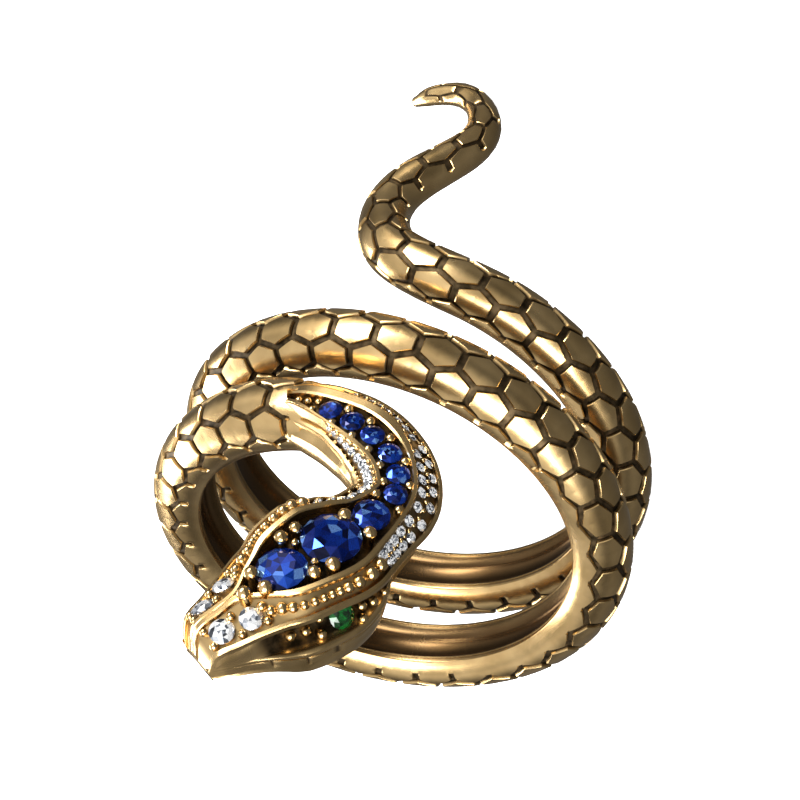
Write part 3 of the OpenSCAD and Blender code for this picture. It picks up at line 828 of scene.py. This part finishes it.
class Wire:
    """A socket that does its own maths, so that a finish reads as a sum."""

    def __init__(self, finish, socket):
        self.finish, self.socket = finish, socket

    def _math(self, operation, first, second=None):
        return self.finish.node("ShaderNodeMath", {"operation": operation},
                                {0: first, **({} if second is None else {1: second})})

    def __add__(self, other):
        return self._math("ADD", self, other)

    def __radd__(self, other):
        return self._math("ADD", other, self)

    def __sub__(self, other):
        return self._math("SUBTRACT", self, other)

    def __rsub__(self, other):
        return self._math("SUBTRACT", other, self)

    def __mul__(self, other):
        return self._math("MULTIPLY", self, other)

    def __rmul__(self, other):
        return self._math("MULTIPLY", other, self)


class Finish:
    """A material and the nodes that make it."""

    def __init__(self, name, **shader):
        self.material = bpy.data.materials.new(name)
        self.material.use_nodes = True
        self.tree = self.material.node_tree
        self.shader = self.tree.nodes["Principled BSDF"]
        for socket, value in shader.items():
            self.shader.inputs[socket.replace("_", " ")].default_value = value

    def node(self, kind, settings=None, sockets=None, out=0):
        made = self.tree.nodes.new(kind)
        for key, value in (settings or {}).items():
            if key == "stops":
                ramp = made.color_ramp
                while len(ramp.elements) < len(value):
                    ramp.elements.new(0.5)
                for element, (at, colour) in zip(ramp.elements, value):
                    element.position, element.color = at, colour
            else:
                setattr(made, key, value)
        for key, value in (sockets or {}).items():
            if isinstance(value, Wire):
                self.tree.links.new(value.socket, made.inputs[key])
            else:
                made.inputs[key].default_value = value
        return Wire(self, made.outputs[out])

    def place(self):
        return self.node("ShaderNodeTexCoord", out="Object")

    def noise(self, size, detail=3.0, rough=0.55):
        return self.node("ShaderNodeTexNoise", {}, {
            "Vector": self.place(), "Scale": 1000.0 / size, "Detail": detail, "Roughness": rough})

    def attribute(self, name):
        return self.node("ShaderNodeAttribute", {"attribute_name": name}, out="Fac")

    def ramp(self, value, low, high):
        return self.node("ShaderNodeMapRange", {"interpolation_type": "SMOOTHSTEP"}, {
            "Value": value, "From Min": low, "From Max": high})

    def mix(self, share, first, second):
        return self.node("ShaderNodeMix", {"data_type": "RGBA"}, {
            0: share, 6: first, 7: second}, out=2)

    def feed(self, **sockets):
        for key, value in sockets.items():
            self.tree.links.new(value.socket, self.shader.inputs[key.replace("_", " ")])

    def bump(self, height, strength, distance):
        self.feed(Normal=self.node("ShaderNodeBump", {}, {
            "Strength": strength, "Distance": distance, "Height": height}))


def rgba(r, g, b):
    return (r, g, b, 1.0)


GOLD_LIGHT = rgba(0.7, 0.49, 0.23)
GOLD_DEEP = rgba(0.52, 0.35, 0.15)
# deep brown mottled tones: patina in the skin's grooves, the eye hollow and the jaw's cuts, and
# painted shade on the head's stone strips and channel floor
PATINA_AND_SHADE = rgba(0.025, 0.018, 0.009)
PATINA_AND_SHADE_PALE = rgba(0.1, 0.068, 0.035)
# painted shade and dark reflection for the ring's inner face
INNER_SHADE = rgba(0.07, 0.036, 0.014)


def gold_finish(name, dark_name=None, rough=0.2, dark_share=1.0, inside=False):
    gold = Finish(name, Metallic=1.0, Roughness=rough)
    cloud = gold.noise(2.2)
    grain = gold.noise(0.35, 4.0)
    colour = gold.mix(gold.ramp(cloud, 0.3, 0.7), GOLD_DEEP, GOLD_LIGHT)
    roughness = rough - 0.03 + cloud * 0.06 + grain * 0.02
    # marked places take the deep brown mottle: patina in grooves and hollows, and painted shade
    # where the head's mark puts it
    if dark_name:
        mark = gold.attribute(dark_name)
        mottled = gold.mix(gold.ramp(grain, 0.3, 0.7), PATINA_AND_SHADE, PATINA_AND_SHADE_PALE)
        share = gold.ramp(mark, 0.15, 0.95) * dark_share
        colour = gold.mix(share, colour, mottled)
        roughness = roughness + share * 0.25
    # painted shade and dark reflection over the ring's inner face, from the 'inside' mark
    if inside:
        inner = gold.attribute("inside")
        colour = gold.mix(gold.ramp(inner, 0, 1) * 0.93, colour, INNER_SHADE)
    gold.feed(Base_Color=colour, Roughness=roughness)
    gold.bump(grain, 0.08, 0.00002)
    return gold.material


def stone_finish(name, stops, metal):
    """A cut stone: its own colour with painted reflections, each of its facets a tone from the
    ramp, under a clear polish.
    """
    stone = Finish(name, Metallic=metal, Roughness=0.05, IOR=1.77, Coat_Weight=0.15,
                   Coat_Roughness=0.02, Coat_IOR=1.77)
    stone.feed(Base_Color=stone.node("ShaderNodeValToRGB", {"stops": stops},
                                     {"Fac": stone.attribute("facet")}))
    return stone.material


def give(piece, material, slot, *nodes):
    piece.data.materials.clear()
    piece.data.materials.append(material)
    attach(piece, "root")
    if nodes:
        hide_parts(*nodes)
    return piece


# ---- the camera and the light first, then the pieces

def photo_camera():
    here = Vector((3.29704227, -7.37664921, 8.86042599)) * BORE_R
    right = Vector((0.95261457, 0.27588273, -0.12811788))
    down = Vector((0.11351427, -0.71319014, -0.69171839))
    ahead = right.cross(down)
    turn = rest_matrix.to_3x3()
    right, down, ahead = turn @ right, turn @ down, turn @ ahead
    data = bpy.data.cameras.new("camera")
    data.sensor_width = 36
    data.lens = 99
    data.clip_start = 0.005
    data.clip_end = 5
    camera = bpy.data.objects.new("camera", data)
    bpy.context.scene.collection.objects.link(camera)
    place = Matrix((
        (right.x, -down.x, -ahead.x, 0), (right.y, -down.y, -ahead.y, 0),
        (right.z, -down.z, -ahead.z, 0), (0, 0, 0, 1)))
    camera.matrix_world = Matrix.Translation((rest_matrix @ here) * MM) @ place
    bpy.context.scene.camera = camera
    return camera


def soft_box(name, where, aim, size, power, colour=(1, 1, 1)):
    data = bpy.data.lights.new(name, "AREA")
    data.shape = "RECTANGLE"
    data.size, data.size_y = size
    data.energy = power
    data.color = colour
    light = bpy.data.objects.new(name, data)
    bpy.context.scene.collection.objects.link(light)
    light.location = where
    light.rotation_euler = (Vector(aim) - Vector(where)).to_track_quat("-Z", "Y").to_euler()
    return light


# the room's grey from straight down to straight up
SKY = [
    (0.0, 0.1), (0.35, 0.2), (0.5, 0.05), (0.6, 0.25), (0.75, 0.85), (0.85, 0.4), (1.0, 0.95),
]


def studio():
    bpy.context.scene.view_settings.view_transform = "Standard"
    bpy.ops.mesh.primitive_plane_add(size=2.4, location=(0, 0, 0))
    floor = begin("floor")
    paper = Finish("white_paper", Roughness=0.8, Base_Color=rgba(0.93, 0.93, 0.93),
                   Emission_Color=rgba(1, 1, 1), Emission_Strength=0.4)
    floor.data.materials.append(paper.material)
    floor.visible_glossy = False
    world = bpy.data.worlds.new("studio")
    bpy.context.scene.world = world
    world.use_nodes = True
    tree = world.node_tree
    back = tree.nodes["Background"]
    coord = tree.nodes.new("ShaderNodeTexCoord")
    split = tree.nodes.new("ShaderNodeSeparateXYZ")
    lift = tree.nodes.new("ShaderNodeMapRange")
    ramp = tree.nodes.new("ShaderNodeValToRGB")
    tree.links.new(coord.outputs["Generated"], split.inputs[0])
    lift.inputs["From Min"].default_value = -1
    tree.links.new(split.outputs[2], lift.inputs["Value"])
    tree.links.new(lift.outputs[0], ramp.inputs[0])
    while len(ramp.color_ramp.elements) < len(SKY):
        ramp.color_ramp.elements.new(0.5)
    for element, (at, grey) in zip(ramp.color_ramp.elements, SKY):
        element.position = at
        element.color = (grey, grey, grey, 1)
    tree.links.new(ramp.outputs[0], back.inputs[0])
    back.inputs[1].default_value = 1.1
    soft_box("key", (-0.12, -0.10, 0.16), (0, 0, 0.015), (0.16, 0.16), 0.95)
    soft_box("fill", (0.16, -0.04, 0.12), (0, 0, 0.015), (0.06, 0.16), 0.6)
    soft_box("side", (0.3, -0.02, 0.07), (0, 0, 0.015), (0.16, 0.14), 0.11, (1, 0.95, 0.86))
    soft_box("back", (-0.02, 0.18, 0.12), (0, 0, 0.015), (0.2, 0.06), 0.5)


photo_camera()
studio()

skin_gold = gold_finish("antique_gold_skin", "groove", 0.25, inside=True)
head_gold = gold_finish("antique_gold_head", "dark", 0.25)
bead_gold = gold_finish("gold_beads", None, 0.2)
# each stone's ramp runs from deep to bright facets over its own colour; the bright facets are
# painted reflections
blue = stone_finish("sapphire", [
    (0.0, rgba(0.0005, 0.002, 0.025)), (0.3, rgba(0.0015, 0.01, 0.12)),
    (0.65, rgba(0.003, 0.03, 0.3)), (0.88, rgba(0.006, 0.065, 0.46)),
    (0.94, rgba(0.16, 0.34, 0.8))], 0.85)
green = stone_finish("emerald", [
    (0.0, rgba(0.0, 0.008, 0.001)), (0.5, rgba(0.0, 0.028, 0.003)),
    (0.95, rgba(0.001, 0.08, 0.01))], 0.3)
clear = stone_finish("diamond", [
    (0.0, rgba(0.01, 0.012, 0.016)), (0.2, rgba(0.08, 0.09, 0.11)),
    (0.42, rgba(0.4, 0.43, 0.48)), (0.6, rgba(1, 1, 1))], 0.75)

skin = snake_skin()
give(skin, skin_gold, "gold", "body")
head = head_body()
give(head, head_gold, "gold")

# where each kind of stone's run of facet tones, its painted reflections, starts
SAPPHIRE_SEED, NOSE_SEED, EYE_SEED, PAVE_SEED = 20, 40, 50, 60

# station, across, rise, width
SAPPHIRES = [
    (2, 0, 0.288, 0.118), (3, 0, 0.291, 0.12), (4, 0, 0.291, 0.12), (5, 0, 0.291, 0.12),
    (6, 0, 0.291, 0.12), (7, 0, 0.296, 0.12), (8.17, 0, 0.33, 0.18), (10.07, 0, 0.375, 0.285),
    (12.03, 0, 0.375, 0.243),
]
# station, across, width
NOSE_STONES = [(15.24, 0.098, 0.12), (14.08, 0.13, 0.112)]
NOSE_LIFT = 0.024
# station, across, rise, width
EYE = (11.2, 0.25, 0.17, 0.13)
EYE_TILT = 52
EYE_BEAD_TILT = 60

# the big stones' prongs: station, across, rise, radius
PRONGS = [
    (11.28, 0.13, 0.4, 0.036), (10.75, 0.133, 0.4, 0.032), (11.46, -0.126, 0.4, 0.034),
    (10.79, -0.139, 0.4, 0.038), (13.10, 0.035, 0.4, 0.036), (13.04, -0.075, 0.4, 0.036),
    (13.81, -0.042, 0.39, 0.036), (9.08, 0.061, 0.37, 0.036), (9.02, -0.086, 0.37, 0.036),
    (11.08, 0.074, 0.39, 0.02), (11.12, -0.071, 0.39, 0.02),
]
# the beads between the small sapphires: station, across, radius
CHANNEL_BEADS = [
    (0.98, 0.004, 0.02), (1.24, -0.006, 0.021), (1.47, -0.026, 0.02), (1.5, 0.03, 0.021),
    (2.38, 0.06, 0.027), (2.42, -0.055, 0.027), (3.42, 0.065, 0.027), (3.45, -0.06, 0.027),
    (4.4, 0.07, 0.027), (4.42, -0.06, 0.027), (5.4, 0.072, 0.027), (5.43, -0.055, 0.027),
    (6.4, 0.072, 0.027), (6.42, -0.055, 0.027), (7.36, 0.076, 0.029), (7.38, -0.062, 0.029),
]
# the row of beads round the brow, the same on both sides: station, radius
BROW_BEADS = [
    (9.55, 0.034), (9.98, 0.034), (10.42, 0.031), (10.82, 0.028), (11.16, 0.024), (11.43, 0.022),
    (11.68, 0.021), (11.93, 0.022), (12.2, 0.023), (12.52, 0.027), (12.9, 0.03), (13.3, 0.026),
]
# by the nose stones: station, across, radius
NOSE_BEADS = [
    (15.82, 0.05, 0.02), (15.8, 0.125, 0.022), (14.66, 0.066, 0.022), (14.68, 0.158, 0.022),
    (13.5, 0.118, 0.024), (13.6, 0.18, 0.022),
]
# in the eye's hollow: station, across, rise, radius
EYE_BEADS = [
    (12.94, 0.205, 0.175, 0.028), (12.3, 0.212, 0.165, 0.027), (11.84, 0.215, 0.2, 0.024),
    (11.98, 0.255, 0.14, 0.026), (10.34, 0.26, 0.165, 0.025), (10.5, 0.3, 0.13, 0.025),
    (9.99, 0.272, 0.16, 0.025), (9.5, 0.268, 0.16, 0.024),
]

for k, (u, across, rise, width) in enumerate(SAPPHIRES):
    stone = cut_stone(width * BORE_R, "sapphire_stone_%d" % (k + 1))
    stone.matrix_world = seat_matrix(u, across, rise)
    settle(paint_facet_reflections(stone, SAPPHIRE_SEED + k))
    give(stone, blue, "sapphire", "sapphire_%d" % (k + 1))
nose = 0
for sign in (-1, 1):
    for u, across, width in NOSE_STONES:
        nose += 1
        stone = cut_stone(width * BORE_R, "nose_stone_%d" % nose)
        stone.matrix_world = nose_spot(u, sign, across, NOSE_LIFT)
        settle(paint_facet_reflections(stone, NOSE_SEED + nose))
        give(stone, clear, "diamond", "nose_diamond_%d" % nose)
for name, side in (("eye_left", -1), ("eye_right", 1)):
    stone = cut_stone(EYE[3] * BORE_R, name + "_stone")
    stone.matrix_world = seat_matrix(EYE[0], side * EYE[1], EYE[2], -side * EYE_TILT)
    settle(paint_facet_reflections(stone, EYE_SEED + side))
    give(stone, green, "emerald", name)

# the paved stones stand this high over the strip, each turned on from the last, with a bead
# tip this far after it
PAVE_LIFT = 0.016
PAVE_TURN = 2.4
TIP_AFTER = 0.19
TIP_LIFT = 0.018
TIP_RADIUS = 0.011
# the stems' lengths in radii
TIP_STEM, PRONG_STEM, BEAD_STEM = 1.5, 3.2, 1.2

# the paved strips: one row of stones that grow, then two rows on the left
left_spots = [(2.1 + 0.36 * k, 0.5, 0.041 + 0.0012 * k) for k in range(8)]
left_spots += [(5.2 + 0.45 * k, 0.24, 0.057) for k in range(10)]
left_spots += [(4.98 + 0.45 * k, 0.76, 0.057) for k in range(10)]
right_spots = [(2.5 + 0.29 * k + 0.018 * k * k, 0.45, 0.026 + 0.0048 * k) for k in range(7)]
right_spots += [(5.3 + 0.42 * k, 0.45, 0.054) for k in range(10)]
for name, sign, spots in (("left", -1, left_spots), ("right", 1, right_spots)):
    source = cut_stone(1.0, "pave_stone")
    places, tips = [], []
    for n, (u, part, width) in enumerate(spots):
        across, rise, tilt = strip_spot(u, sign, part, PAVE_LIFT)
        turn = Matrix.Rotation(PAVE_TURN * n, 4, "Z")
        places.append(sized(seat_matrix(u, across, rise, tilt) @ turn, width))
        for side in (0.05, 0.95) if sign > 0 or u < 5 else (0.5,):
            across, rise, tilt = strip_spot(u + TIP_AFTER, sign, side, TIP_LIFT)
            tips.append(sized(seat_matrix(u + TIP_AFTER, across, rise, tilt), TIP_RADIUS))
    stones = paint_facet_reflections(copies(source, places, "pave_%s_stones" % name), PAVE_SEED + sign)
    give(stones, clear, "diamond", "pave_" + name)
    discard(source)
    source = bead(TIP_STEM)
    give(copies(source, tips, "pave_%s_tips" % name), bead_gold, "gold")
    discard(source)

prong = bead(PRONG_STEM)
give(copies(prong, [sized(seat_matrix(u, across, rise), radius)
                    for u, across, rise, radius in PRONGS], "gold_prongs"), bead_gold, "gold")
discard(prong)
ball = bead(BEAD_STEM)
places = []
for u, across, radius in CHANNEL_BEADS:
    row = row_at(HEAD_RUN, np.array(u))
    places.append(sized(seat_matrix(u, across, row[4] - row[8] + 1.3 * radius), radius))
give(copies(ball, places, "channel_beads"), bead_gold, "gold")
for name, sign in (("left", -1), ("right", 1)):
    places = []
    for u, radius in BROW_BEADS:
        across, rise, tilt = strip_spot(u, sign, 0.5, 0.7 * radius)
        places.append(sized(seat_matrix(u, across, rise, tilt), radius))
    give(copies(ball, places, "brow_beads_" + name), bead_gold, "gold")
    places = [sized(nose_spot(u, sign, across, 0.9 * radius), radius)
              for u, across, radius in NOSE_BEADS]
    give(copies(ball, places, "nose_beads_" + name), bead_gold, "gold")
    places = [sized(seat_matrix(u, sign * across, rise, -sign * EYE_BEAD_TILT), radius)
              for u, across, rise, radius in EYE_BEADS]
    give(copies(ball, places, "eye_beads_" + name), bead_gold, "gold")
discard(ball)
